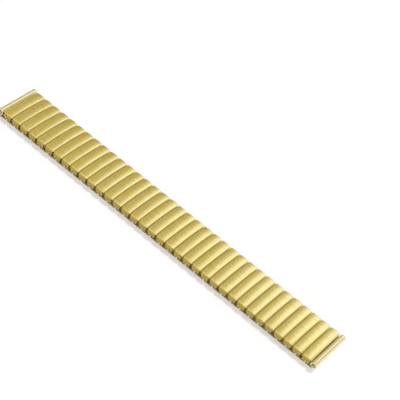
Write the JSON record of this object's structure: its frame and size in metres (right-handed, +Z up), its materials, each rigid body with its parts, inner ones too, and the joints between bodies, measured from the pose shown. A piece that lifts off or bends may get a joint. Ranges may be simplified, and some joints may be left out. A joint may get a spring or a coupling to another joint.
{
  "type": "expansion watch band",
  "caption": "Stretch metal watch band of crowned gold-tone links over a second row of sleeves, joined by sprung bows, with a tube at each end for a spring bar.",
  "frame": {"origin": "centre of the closed band, on the surface that its underside lies on", "axes": "+X along the band, +Y across it, +Z up through the caps, away from the wrist"},
  "size_m": [0.1558, 0.0198, 0.0036],
  "materials": {
    "gold_tone_steel": "satin brushed along the band, gold-tone plating",
    "bottom_row_steel": "plain drawn sheet"
  },
  "bodies": {
    "end_piece_left": {"end_piece_left": "gold_tone_steel"},
    "end_piece_right": {"end_piece_right": "gold_tone_steel"},
    "top_link_01": {"top_link_01": "gold_tone_steel"},
    "link_pair_02": {"link_pair_02": "gold_tone_steel"},
    "link_pair_03": {"link_pair_03": "gold_tone_steel"},
    "link_pair_04": {"link_pair_04": "gold_tone_steel"},
    "link_pair_05": {"link_pair_05": "gold_tone_steel"},
    "link_pair_06": {"link_pair_06": "gold_tone_steel"},
    "link_pair_07": {"link_pair_07": "gold_tone_steel"},
    "top_link_08": {"top_link_08": "gold_tone_steel"},
    "top_link_09": {"top_link_09": "gold_tone_steel"},
    "top_link_10": {"top_link_10": "gold_tone_steel"},
    "top_link_11": {"top_link_11": "gold_tone_steel"},
    "top_link_12": {"top_link_12": "gold_tone_steel"},
    "top_link_13": {"top_link_13": "gold_tone_steel"},
    "top_link_14": {"top_link_14": "gold_tone_steel"},
    "top_link_15": {"top_link_15": "gold_tone_steel"},
    "top_link_16": {"top_link_16": "gold_tone_steel"},
    "top_link_17": {"top_link_17": "gold_tone_steel"},
    "top_link_18": {"top_link_18": "gold_tone_steel"},
    "top_link_19": {"top_link_19": "gold_tone_steel"},
    "top_link_20": {"top_link_20": "gold_tone_steel"},
    "top_link_21": {"top_link_21": "gold_tone_steel"},
    "top_link_22": {"top_link_22": "gold_tone_steel"},
    "top_link_23": {"top_link_23": "gold_tone_steel"},
    "top_link_24": {"top_link_24": "gold_tone_steel"},
    "top_link_25": {"top_link_25": "gold_tone_steel"},
    "top_link_26": {"top_link_26": "gold_tone_steel"},
    "top_link_27": {"top_link_27": "gold_tone_steel"},
    "top_link_28": {"top_link_28": "gold_tone_steel"},
    "link_pair_29": {"link_pair_29": "gold_tone_steel"},
    "link_pair_30": {"link_pair_30": "gold_tone_steel"},
    "link_pair_31": {"link_pair_31": "gold_tone_steel"},
    "link_pair_32": {"link_pair_32": "gold_tone_steel"},
    "link_pair_33": {"link_pair_33": "gold_tone_steel"},
    "link_pair_34": {"link_pair_34": "gold_tone_steel"},
    "top_link_35": {"top_link_35": "gold_tone_steel"},
    "bottom_link_07": {"bottom_link_07": "bottom_row_steel"},
    "bottom_link_08": {"bottom_link_08": "bottom_row_steel"},
    "bottom_link_09": {"bottom_link_09": "bottom_row_steel"},
    "bottom_link_10": {"bottom_link_10": "bottom_row_steel"},
    "bottom_link_11": {"bottom_link_11": "bottom_row_steel"},
    "bottom_link_12": {"bottom_link_12": "bottom_row_steel"},
    "bottom_link_13": {"bottom_link_13": "bottom_row_steel"},
    "bottom_link_14": {"bottom_link_14": "bottom_row_steel"},
    "bottom_link_15": {"bottom_link_15": "bottom_row_steel"},
    "bottom_link_16": {"bottom_link_16": "bottom_row_steel"},
    "bottom_link_17": {"bottom_link_17": "bottom_row_steel"},
    "bottom_link_18": {"bottom_link_18": "bottom_row_steel"},
    "bottom_link_19": {"bottom_link_19": "bottom_row_steel"},
    "bottom_link_20": {"bottom_link_20": "bottom_row_steel"},
    "bottom_link_21": {"bottom_link_21": "bottom_row_steel"},
    "bottom_link_22": {"bottom_link_22": "bottom_row_steel"},
    "bottom_link_23": {"bottom_link_23": "bottom_row_steel"},
    "bottom_link_24": {"bottom_link_24": "bottom_row_steel"},
    "bottom_link_25": {"bottom_link_25": "bottom_row_steel"},
    "bottom_link_26": {"bottom_link_26": "bottom_row_steel"},
    "bottom_link_27": {"bottom_link_27": "bottom_row_steel"},
    "bottom_link_28": {"bottom_link_28": "bottom_row_steel"}
  },
  "joints": [
    {"name": "curl", "type": "hinge", "parent": "top_link_18", "child": "bottom_link_18", "pos_m": [0.001, 0, 0.00141], "axis": [0, 1, 0], "range_deg": [0, 10]},
    {"name": "stretch", "type": "slide", "parent": "bottom_link_18", "child": "top_link_19", "axis": [1, 0, 0], "range_m": [0, 0.0012], "stiffness_N_per_m": 500},
    {"name": "curl_19", "type": "hinge", "parent": "top_link_19", "child": "bottom_link_19", "pos_m": [0.0053, 0, 0.00141], "axis": [0, 1, 0], "range_deg": [0, 10]},
    {"name": "stretch_20", "type": "slide", "parent": "bottom_link_19", "child": "top_link_20", "axis": [1, 0, 0], "range_m": [0, 0.0012], "stiffness_N_per_m": 500},
    {"name": "curl_20", "type": "hinge", "parent": "top_link_20", "child": "bottom_link_20", "pos_m": [0.0096, 0, 0.00141], "axis": [0, 1, 0], "range_deg": [0, 10]},
    {"name": "stretch_21", "type": "slide", "parent": "bottom_link_20", "child": "top_link_21", "axis": [1, 0, 0], "range_m": [0, 0.0012], "stiffness_N_per_m": 500},
    {"name": "curl_21", "type": "hinge", "parent": "top_link_21", "child": "bottom_link_21", "pos_m": [0.0139, 0, 0.00141], "axis": [0, 1, 0], "range_deg": [0, 10]},
    {"name": "stretch_22", "type": "slide", "parent": "bottom_link_21", "child": "top_link_22", "axis": [1, 0, 0], "range_m": [0, 0.0012], "stiffness_N_per_m": 500},
    {"name": "curl_22", "type": "hinge", "parent": "top_link_22", "child": "bottom_link_22", "pos_m": [0.0182, 0, 0.00141], "axis": [0, 1, 0], "range_deg": [0, 10]},
    {"name": "stretch_23", "type": "slide", "parent": "bottom_link_22", "child": "top_link_23", "axis": [1, 0, 0], "range_m": [0, 0.0012], "stiffness_N_per_m": 500},
    {"name": "curl_23", "type": "hinge", "parent": "top_link_23", "child": "bottom_link_23", "pos_m": [0.0225, 0, 0.00141], "axis": [0, 1, 0], "range_deg": [0, 10]},
    {"name": "stretch_24", "type": "slide", "parent": "bottom_link_23", "child": "top_link_24", "axis": [1, 0, 0], "range_m": [0, 0.0012], "stiffness_N_per_m": 500},
    {"name": "curl_24", "type": "hinge", "parent": "top_link_24", "child": "bottom_link_24", "pos_m": [0.0268, 0, 0.00141], "axis": [0, 1, 0], "range_deg": [0, 10]},
    {"name": "stretch_25", "type": "slide", "parent": "bottom_link_24", "child": "top_link_25", "axis": [1, 0, 0], "range_m": [0, 0.0012], "stiffness_N_per_m": 500},
    {"name": "curl_25", "type": "hinge", "parent": "top_link_25", "child": "bottom_link_25", "pos_m": [0.0311, 0, 0.00141], "axis": [0, 1, 0], "range_deg": [0, 10]},
    {"name": "stretch_26", "type": "slide", "parent": "bottom_link_25", "child": "top_link_26", "axis": [1, 0, 0], "range_m": [0, 0.0012], "stiffness_N_per_m": 500},
    {"name": "curl_26", "type": "hinge", "parent": "top_link_26", "child": "bottom_link_26", "pos_m": [0.0354, 0, 0.00141], "axis": [0, 1, 0], "range_deg": [0, 10]},
    {"name": "stretch_27", "type": "slide", "parent": "bottom_link_26", "child": "top_link_27", "axis": [1, 0, 0], "range_m": [0, 0.0012], "stiffness_N_per_m": 500},
    {"name": "curl_27", "type": "hinge", "parent": "top_link_27", "child": "bottom_link_27", "pos_m": [0.0397, 0, 0.00141], "axis": [0, 1, 0], "range_deg": [0, 10]},
    {"name": "stretch_28", "type": "slide", "parent": "bottom_link_27", "child": "top_link_28", "axis": [1, 0, 0], "range_m": [0, 0.0012], "stiffness_N_per_m": 500},
    {"name": "curl_28", "type": "hinge", "parent": "top_link_28", "child": "bottom_link_28", "pos_m": [0.044, 0, 0.00141], "axis": [0, 1, 0], "range_deg": [0, 10]},
    {"name": "stretch_29", "type": "slide", "parent": "bottom_link_28", "child": "link_pair_29", "axis": [1, 0, 0], "range_m": [0, 0.0012], "stiffness_N_per_m": 500},
    {"name": "stretch_30", "type": "slide", "parent": "link_pair_29", "child": "link_pair_30", "axis": [1, 0, 0], "range_m": [0, 0.0012], "stiffness_N_per_m": 500},
    {"name": "stretch_31", "type": "slide", "parent": "link_pair_30", "child": "link_pair_31", "axis": [1, 0, 0], "range_m": [0, 0.0012], "stiffness_N_per_m": 500},
    {"name": "stretch_32", "type": "slide", "parent": "link_pair_31", "child": "link_pair_32", "axis": [1, 0, 0], "range_m": [0, 0.0012], "stiffness_N_per_m": 500},
    {"name": "stretch_33", "type": "slide", "parent": "link_pair_32", "child": "link_pair_33", "axis": [1, 0, 0], "range_m": [0, 0.0012], "stiffness_N_per_m": 500},
    {"name": "stretch_34", "type": "slide", "parent": "link_pair_33", "child": "link_pair_34", "axis": [1, 0, 0], "range_m": [0, 0.0012], "stiffness_N_per_m": 500},
    {"name": "stretch_35", "type": "slide", "parent": "link_pair_34", "child": "top_link_35", "axis": [1, 0, 0], "range_m": [0, 0.0012], "stiffness_N_per_m": 500},
    {"name": "stretch_end_right", "type": "slide", "parent": "top_link_35", "child": "end_piece_right", "axis": [1, 0, 0], "range_m": [0, 0.0006], "stiffness_N_per_m": 500},
    {"name": "curl_17", "type": "hinge", "parent": "top_link_18", "child": "bottom_link_17", "pos_m": [-0.001, 0, 0.00141], "axis": [0, -1, 0], "range_deg": [0, 10]},
    {"name": "stretch_17", "type": "slide", "parent": "bottom_link_17", "child": "top_link_17", "axis": [-1, 0, 0], "range_m": [0, 0.0012], "stiffness_N_per_m": 500},
    {"name": "curl_16", "type": "hinge", "parent": "top_link_17", "child": "bottom_link_16", "pos_m": [-0.0053, 0, 0.00141], "axis": [0, -1, 0], "range_deg": [0, 10]},
    {"name": "stretch_16", "type": "slide", "parent": "bottom_link_16", "child": "top_link_16", "axis": [-1, 0, 0], "range_m": [0, 0.0012], "stiffness_N_per_m": 500},
    {"name": "curl_15", "type": "hinge", "parent": "top_link_16", "child": "bottom_link_15", "pos_m": [-0.0096, 0, 0.00141], "axis": [0, -1, 0], "range_deg": [0, 10]},
    {"name": "stretch_15", "type": "slide", "parent": "bottom_link_15", "child": "top_link_15", "axis": [-1, 0, 0], "range_m": [0, 0.0012], "stiffness_N_per_m": 500},
    {"name": "curl_14", "type": "hinge", "parent": "top_link_15", "child": "bottom_link_14", "pos_m": [-0.0139, 0, 0.00141], "axis": [0, -1, 0], "range_deg": [0, 10]},
    {"name": "stretch_14", "type": "slide", "parent": "bottom_link_14", "child": "top_link_14", "axis": [-1, 0, 0], "range_m": [0, 0.0012], "stiffness_N_per_m": 500},
    {"name": "curl_13", "type": "hinge", "parent": "top_link_14", "child": "bottom_link_13", "pos_m": [-0.0182, 0, 0.00141], "axis": [0, -1, 0], "range_deg": [0, 10]},
    {"name": "stretch_13", "type": "slide", "parent": "bottom_link_13", "child": "top_link_13", "axis": [-1, 0, 0], "range_m": [0, 0.0012], "stiffness_N_per_m": 500},
    {"name": "curl_12", "type": "hinge", "parent": "top_link_13", "child": "bottom_link_12", "pos_m": [-0.0225, 0, 0.00141], "axis": [0, -1, 0], "range_deg": [0, 10]},
    {"name": "stretch_12", "type": "slide", "parent": "bottom_link_12", "child": "top_link_12", "axis": [-1, 0, 0], "range_m": [0, 0.0012], "stiffness_N_per_m": 500},
    {"name": "curl_11", "type": "hinge", "parent": "top_link_12", "child": "bottom_link_11", "pos_m": [-0.0268, 0, 0.00141], "axis": [0, -1, 0], "range_deg": [0, 10]},
    {"name": "stretch_11", "type": "slide", "parent": "bottom_link_11", "child": "top_link_11", "axis": [-1, 0, 0], "range_m": [0, 0.0012], "stiffness_N_per_m": 500},
    {"name": "curl_10", "type": "hinge", "parent": "top_link_11", "child": "bottom_link_10", "pos_m": [-0.0311, 0, 0.00141], "axis": [0, -1, 0], "range_deg": [0, 10]},
    {"name": "stretch_10", "type": "slide", "parent": "bottom_link_10", "child": "top_link_10", "axis": [-1, 0, 0], "range_m": [0, 0.0012], "stiffness_N_per_m": 500},
    {"name": "curl_09", "type": "hinge", "parent": "top_link_10", "child": "bottom_link_09", "pos_m": [-0.0354, 0, 0.00141], "axis": [0, -1, 0], "range_deg": [0, 10]},
    {"name": "stretch_09", "type": "slide", "parent": "bottom_link_09", "child": "top_link_09", "axis": [-1, 0, 0], "range_m": [0, 0.0012], "stiffness_N_per_m": 500},
    {"name": "curl_08", "type": "hinge", "parent": "top_link_09", "child": "bottom_link_08", "pos_m": [-0.0397, 0, 0.00141], "axis": [0, -1, 0], "range_deg": [0, 10]},
    {"name": "stretch_08", "type": "slide", "parent": "bottom_link_08", "child": "top_link_08", "axis": [-1, 0, 0], "range_m": [0, 0.0012], "stiffness_N_per_m": 500},
    {"name": "curl_07", "type": "hinge", "parent": "top_link_08", "child": "bottom_link_07", "pos_m": [-0.044, 0, 0.00141], "axis": [0, -1, 0], "range_deg": [0, 10]},
    {"name": "stretch_07", "type": "slide", "parent": "bottom_link_07", "child": "link_pair_07", "axis": [-1, 0, 0], "range_m": [0, 0.0012], "stiffness_N_per_m": 500},
    {"name": "stretch_06", "type": "slide", "parent": "link_pair_07", "child": "link_pair_06", "axis": [-1, 0, 0], "range_m": [0, 0.0012], "stiffness_N_per_m": 500},
    {"name": "stretch_05", "type": "slide", "parent": "link_pair_06", "child": "link_pair_05", "axis": [-1, 0, 0], "range_m": [0, 0.0012], "stiffness_N_per_m": 500},
    {"name": "stretch_04", "type": "slide", "parent": "link_pair_05", "child": "link_pair_04", "axis": [-1, 0, 0], "range_m": [0, 0.0012], "stiffness_N_per_m": 500},
    {"name": "stretch_03", "type": "slide", "parent": "link_pair_04", "child": "link_pair_03", "axis": [-1, 0, 0], "range_m": [0, 0.0012], "stiffness_N_per_m": 500},
    {"name": "stretch_02", "type": "slide", "parent": "link_pair_03", "child": "link_pair_02", "axis": [-1, 0, 0], "range_m": [0, 0.0012], "stiffness_N_per_m": 500},
    {"name": "stretch_01", "type": "slide", "parent": "link_pair_02", "child": "top_link_01", "axis": [-1, 0, 0], "range_m": [0, 0.0012], "stiffness_N_per_m": 500},
    {"name": "stretch_end_left", "type": "slide", "parent": "top_link_01", "child": "end_piece_left", "axis": [-1, 0, 0], "range_m": [0, 0.0006], "stiffness_N_per_m": 500}
  ],
  "couplings": [
    {"joint": "curl_19", "follows": "curl", "ratio": 1},
    {"joint": "stretch_20", "follows": "stretch", "ratio": 1},
    {"joint": "curl_20", "follows": "curl", "ratio": 1},
    {"joint": "stretch_21", "follows": "stretch", "ratio": 1},
    {"joint": "curl_21", "follows": "curl", "ratio": 1},
    {"joint": "stretch_22", "follows": "stretch", "ratio": 1},
    {"joint": "curl_22", "follows": "curl", "ratio": 1},
    {"joint": "stretch_23", "follows": "stretch", "ratio": 1},
    {"joint": "curl_23", "follows": "curl", "ratio": 1},
    {"joint": "stretch_24", "follows": "stretch", "ratio": 1},
    {"joint": "curl_24", "follows": "curl", "ratio": 1},
    {"joint": "stretch_25", "follows": "stretch", "ratio": 1},
    {"joint": "curl_25", "follows": "curl", "ratio": 1},
    {"joint": "stretch_26", "follows": "stretch", "ratio": 1},
    {"joint": "curl_26", "follows": "curl", "ratio": 1},
    {"joint": "stretch_27", "follows": "stretch", "ratio": 1},
    {"joint": "curl_27", "follows": "curl", "ratio": 1},
    {"joint": "stretch_28", "follows": "stretch", "ratio": 1},
    {"joint": "curl_28", "follows": "curl", "ratio": 1},
    {"joint": "stretch_29", "follows": "stretch", "ratio": 1},
    {"joint": "stretch_30", "follows": "stretch", "ratio": 1},
    {"joint": "stretch_31", "follows": "stretch", "ratio": 1},
    {"joint": "stretch_32", "follows": "stretch", "ratio": 1},
    {"joint": "stretch_33", "follows": "stretch", "ratio": 1},
    {"joint": "stretch_34", "follows": "stretch", "ratio": 1},
    {"joint": "stretch_35", "follows": "stretch", "ratio": 1},
    {"joint": "stretch_end_right", "follows": "stretch", "ratio": 0.5},
    {"joint": "curl_17", "follows": "curl", "ratio": 1},
    {"joint": "stretch_17", "follows": "stretch", "ratio": 1},
    {"joint": "curl_16", "follows": "curl", "ratio": 1},
    {"joint": "stretch_16", "follows": "stretch", "ratio": 1},
    {"joint": "curl_15", "follows": "curl", "ratio": 1},
    {"joint": "stretch_15", "follows": "stretch", "ratio": 1},
    {"joint": "curl_14", "follows": "curl", "ratio": 1},
    {"joint": "stretch_14", "follows": "stretch", "ratio": 1},
    {"joint": "curl_13", "follows": "curl", "ratio": 1},
    {"joint": "stretch_13", "follows": "stretch", "ratio": 1},
    {"joint": "curl_12", "follows": "curl", "ratio": 1},
    {"joint": "stretch_12", "follows": "stretch", "ratio": 1},
    {"joint": "curl_11", "follows": "curl", "ratio": 1},
    {"joint": "stretch_11", "follows": "stretch", "ratio": 1},
    {"joint": "curl_10", "follows": "curl", "ratio": 1},
    {"joint": "stretch_10", "follows": "stretch", "ratio": 1},
    {"joint": "curl_09", "follows": "curl", "ratio": 1},
    {"joint": "stretch_09", "follows": "stretch", "ratio": 1},
    {"joint": "curl_08", "follows": "curl", "ratio": 1},
    {"joint": "stretch_08", "follows": "stretch", "ratio": 1},
    {"joint": "curl_07", "follows": "curl", "ratio": 1},
    {"joint": "stretch_07", "follows": "stretch", "ratio": 1},
    {"joint": "stretch_06", "follows": "stretch", "ratio": 1},
    {"joint": "stretch_05", "follows": "stretch", "ratio": 1},
    {"joint": "stretch_04", "follows": "stretch", "ratio": 1},
    {"joint": "stretch_03", "follows": "stretch", "ratio": 1},
    {"joint": "stretch_02", "follows": "stretch", "ratio": 1},
    {"joint": "stretch_01", "follows": "stretch", "ratio": 1},
    {"joint": "stretch_end_left", "follows": "stretch", "ratio": 0.5}
  ]
}
